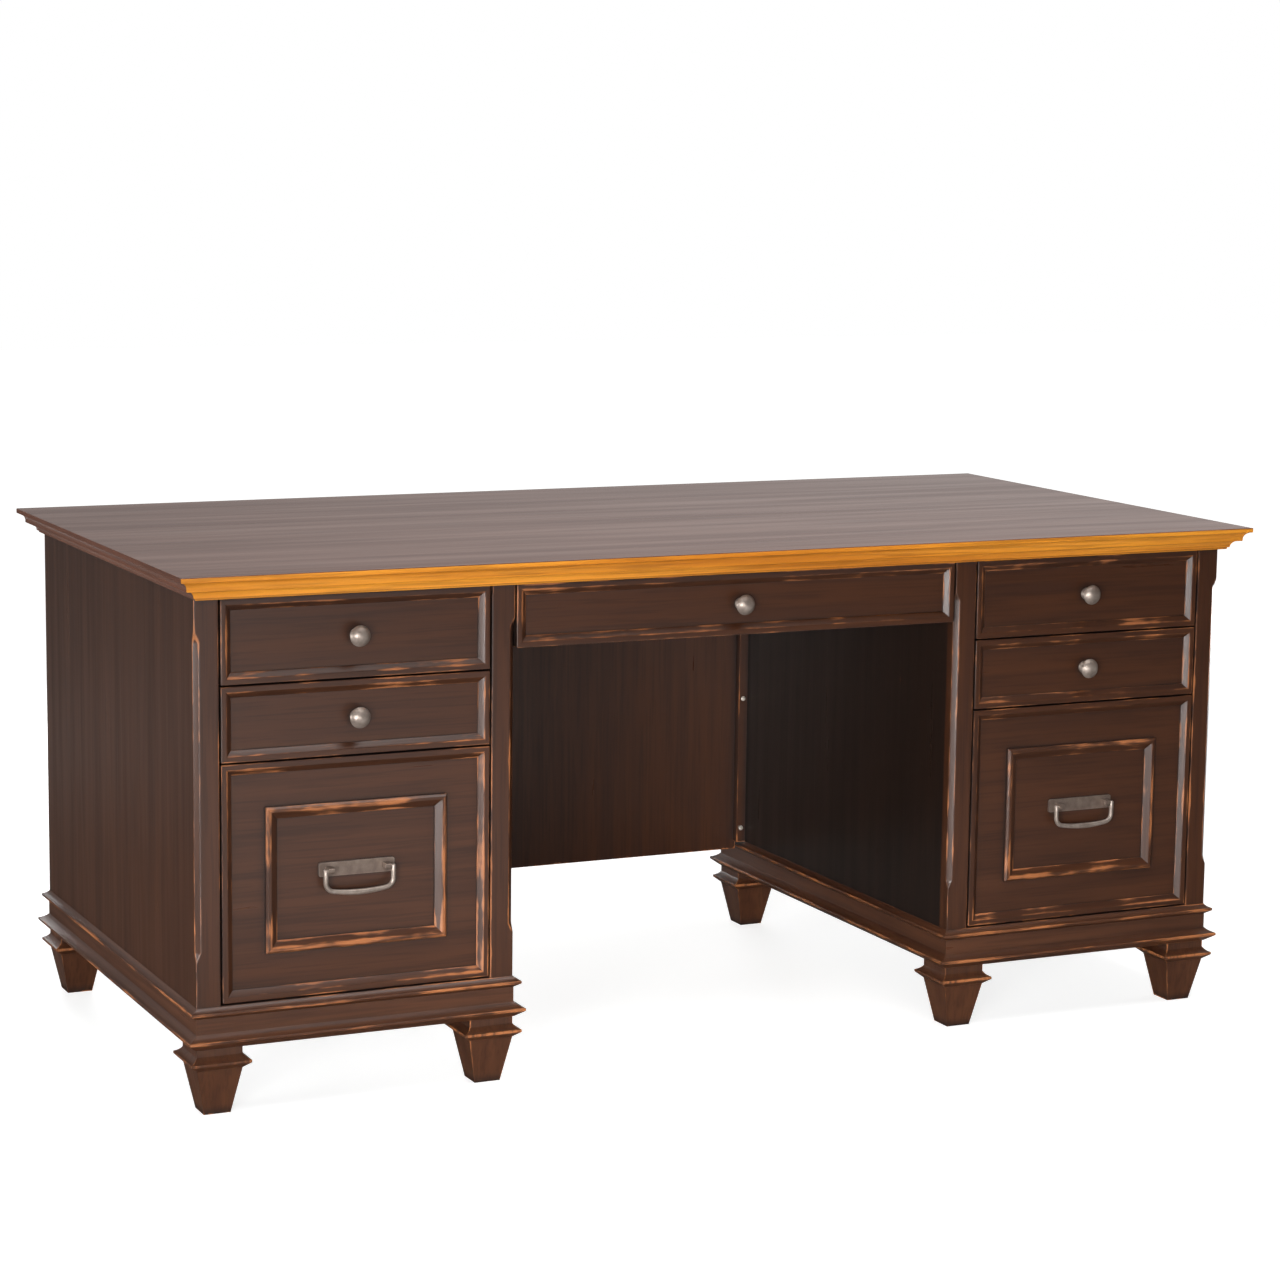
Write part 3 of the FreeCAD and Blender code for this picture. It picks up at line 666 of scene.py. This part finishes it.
def addRod(shape, spots):
    # a closed round rod along a line of places in the bail's plane
    sides = bailShape["sides"]
    rings = []
    for number, (across, up, radius) in enumerate(spots):
        before, after = spots[max(number - 1, 0)], spots[min(number + 1, len(spots) - 1)]
        along = Vector((after[0] - before[0], 0.0, after[1] - before[1])).normalized()
        outward = along.cross(Vector((0.0, 1.0, 0.0)))
        ring = []
        for side in range(sides):
            angle = 2 * math.pi * side / sides
            spot = Vector((across, radius * math.cos(angle), up))
            ring.append(shape.verts.new(spot + outward * radius * math.sin(angle)))
        rings.append(ring)
    for first, second in zip(rings, rings[1:]):
        for side in range(sides):
            after = (side + 1) % sides
            shape.faces.new([first[side], first[after], second[after], second[side]])
    shape.faces.new(rings[0])
    shape.faces.new(list(reversed(rings[-1])))


def dressBail(node):
    low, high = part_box(node)
    pivot = Vector(((low[0] + high[0]) / 2, (low[1] + high[1]) / 2, high[2] - bailShape["top"]))
    shape = bmesh.new()
    addRod(shape, bailPath())
    pin = bailShape["pinRadius"]
    for side in (-1, 1):
        start = side * (bailShape["half"] - bailShape["pinSeat"])
        end = side * (bailShape["half"] - bailShape["pinLength"])
        addRod(shape, [(start, 0.0, pin), (end, 0.0, pin)])
    bmesh.ops.recalc_face_normals(shape, faces=shape.faces)
    bmesh.ops.translate(shape, vec=pivot, verts=shape.verts)
    mesh = bpy.data.meshes.new(node + "_dressed")
    shape.to_mesh(mesh)
    shape.free()
    placeDressed(node, mesh, "pewter", bailShape["shading"])


bailNodes = [node for node in cadNodes if node.endswith("bail")]
for node in bailNodes:
    dressBail(node)
print("bails bent:", len(bailNodes))


# the other metal pieces keep their own shapes

metalEndings = {"plate": "plate", "knob": "pewter", "screws": "screw"}
metalNodes = [node for node in cadNodes if node not in woodPieces and node not in bailNodes]
for node in metalNodes:
    metal = metalEndings.get(node.split("_")[-1], "steel")
    cadNodes[node].data.materials[0] = finishes[metal]
print("metal finished:", len(metalNodes), "pieces")


# floor, light and camera

studio = {
    "floorSize": 30.0, "floorColour": tone(200, 200, 199), "floorRoughness": 0.7,
    "floorShadeInGloss": tone(84, 80, 76), "mirroredFrom": (1.6, 3.4),  # near the desk, in gloss
    "lift": (1.5, 4.0, 0.74, 1.0),  # white to the eye, less so near the desk
    "gleam": 0.80, "gleamAcross": (0.4, 1.7), "gleamAlong": (-1.4, -0.7),
    "air": 0.12, "mirrorAlong": (-0.3, 0.7, 0.07, 0.48), "mirrorAcross": (0.15, 0.60, 0.70, 1.20),
}
lamps = {
    "mainPanel": {"place": (-3.7, -5.7, 1.3), "aim": (0.0, -0.38, 0.40), "size": (3.2, 2.1),
                  "power": 112.0, "spread": 120},
    "fillPanel": {"place": (-0.9, -4.8, 0.6), "aim": (0.3, 0.0, 0.30), "size": (1.2, 0.8),
                  "power": 12.0, "spread": 120},
    "topPanel": {"place": (0.1, -0.9, 3.1), "aim": (0.0, -0.2, 0.5), "size": (2.6, 1.6),
                 "power": 46.0, "spread": 150},
    "lowPanel": {"place": (-2.4, -3.1, 0.42), "aim": (0.15, -0.4, -0.10), "size": (1.2, 0.25),
                 "power": 5.5, "spread": 40},
    "sidePanel": {"place": (-2.9, -0.3, 0.50), "aim": (-0.86, 0.0, 0.20), "size": (1.2, 0.4),
                  "power": 5.0, "spread": 70},
    "rightPanel": {"place": (3.3, 0.5, 0.40), "aim": (0.86, 0.1, 0.36), "size": (1.4, 0.45),
                   "power": 11.0, "spread": 90},
    "backPanel": {"place": (0.4, 3.4, 0.40), "aim": (0.1, 0.4, 0.36), "size": (2.4, 0.45),
                  "power": 20.0, "spread": 90},
}
photoView = {
    "place": (-2.144, -4.589, 1.356), "yaw": 0.4400, "pitch": 0.1540, "roll": 0.0132,
    "focal": 3266.0, "frame": 1280.0, "sensor": 36.0,  # focal length and frame in pixels
}


def makeFloor():
    mesh = bpy.data.meshes.new("studioFloor")
    half = studio["floorSize"] / 2
    corners = [(-half, -half, 0), (half, -half, 0), (half, half, 0), (-half, half, 0)]
    mesh.from_pydata(corners, [], [(0, 1, 2, 3)])
    floor = bpy.data.objects.new("studioFloor", mesh)
    bpy.context.scene.collection.objects.link(floor)
    material, tree, shader = startFinish("paleFloor")
    rays = addNode(tree, "ShaderNodeLightPath")
    seen, mirrored = rays.outputs["Is Camera Ray"], rays.outputs["Is Glossy Ray"]
    place = addNode(tree, "ShaderNodeTexCoord").outputs["Object"]
    away = addNode(tree, "ShaderNodeVectorMath", {0: place}, operation="LENGTH").outputs["Value"]
    lift = arith(tree, "MULTIPLY", seen, remap(tree, away, *studio["lift"]))
    # painted glow: in front of the desk the floor gives off light to glossy rays only, a painted
    # reflection on the fronts that mirror it
    spot = addNode(tree, "ShaderNodeSeparateXYZ", {0: place})
    across = remap(tree, spot.outputs[0], *studio["gleamAcross"], studio["gleam"], 0.0)
    along = remap(tree, spot.outputs[1], *studio["gleamAlong"], 1.0, 0.0)
    gleam = arith(tree, "MULTIPLY", arith(tree, "MULTIPLY", across, along), mirrored)
    tree.links.new(arith(tree, "ADD", lift, gleam), shader.inputs["Emission Strength"])
    shader.inputs["Emission Color"].default_value = (1.0, 1.0, 1.0, 1.0)
    # near the desk the floor is painted darker to glossy rays: painted shade in its reflections
    near = remap(tree, away, *studio["mirroredFrom"], 1.0, 0.0)
    near = arith(tree, "MULTIPLY", mirrored, near)
    ground = blendColour(tree, near, studio["floorColour"], studio["floorShadeInGloss"])
    tree.links.new(ground, shader.inputs["Base Color"])
    shader.inputs["Roughness"].default_value = studio["floorRoughness"]
    mesh.materials.append(material)


def makeAir():
    world = bpy.data.worlds.new("studioAir")
    bpy.context.scene.world = world
    world.use_nodes = True
    tree = world.node_tree
    tree.nodes.clear()
    # white to the eye; mirrored paler behind the desk than in front of it;
    # a low plain light for the rest
    rays = addNode(tree, "ShaderNodeLightPath")
    heading = addNode(tree, "ShaderNodeTexCoord").outputs["Generated"]
    heading = addNode(tree, "ShaderNodeSeparateXYZ", {0: heading})
    mirrored = arith(tree, "MULTIPLY", remap(tree, heading.outputs[1], *studio["mirrorAlong"]),
                     remap(tree, heading.outputs[0], *studio["mirrorAcross"]))
    mirrored = blendNumber(tree, rays.outputs["Is Glossy Ray"], studio["air"], mirrored)
    eye = arith(tree, "MAXIMUM", rays.outputs["Is Camera Ray"], rays.outputs["Is Transmission Ray"])
    strength = blendNumber(tree, eye, mirrored, 1.0)
    sockets = {"Color": (1.0, 1.0, 1.0, 1.0), "Strength": strength}
    glow = addNode(tree, "ShaderNodeBackground", sockets)
    output = addNode(tree, "ShaderNodeOutputWorld")
    tree.links.new(glow.outputs[0], output.inputs["Surface"])


def makeLamps():
    for name, lamp in lamps.items():
        light = bpy.data.lights.new(name, "AREA")
        light.shape = "RECTANGLE"
        light.size, light.size_y = lamp["size"]
        light.energy = lamp["power"]
        light.spread = math.radians(lamp["spread"])
        holder = bpy.data.objects.new(name, light)
        holder.visible_camera = False
        holder.location = lamp["place"]
        heading = Vector(lamp["aim"]) - Vector(lamp["place"])
        holder.rotation_euler = heading.to_track_quat("-Z", "Y").to_euler()
        bpy.context.scene.collection.objects.link(holder)


def makeCamera():
    camera = bpy.data.cameras.new("photoCamera")
    camera.sensor_width = photoView["sensor"]
    camera.lens = photoView["focal"] / photoView["frame"] * camera.sensor_width
    holder = bpy.data.objects.new("photoCamera", camera)
    turn = Matrix.Rotation(-photoView["yaw"], 4, "Z")
    turn = turn @ Matrix.Rotation(math.pi / 2 - photoView["pitch"], 4, "X")
    turn = turn @ Matrix.Rotation(photoView["roll"], 4, "Z")
    holder.matrix_world = Matrix.Translation(photoView["place"]) @ turn
    bpy.context.scene.collection.objects.link(holder)
    bpy.context.scene.camera = holder


makeFloor()
makeAir()
makeLamps()
makeCamera()
bpy.context.scene.view_settings.view_transform = "Standard"
print("studio ready:", len(lamps), "lamps")
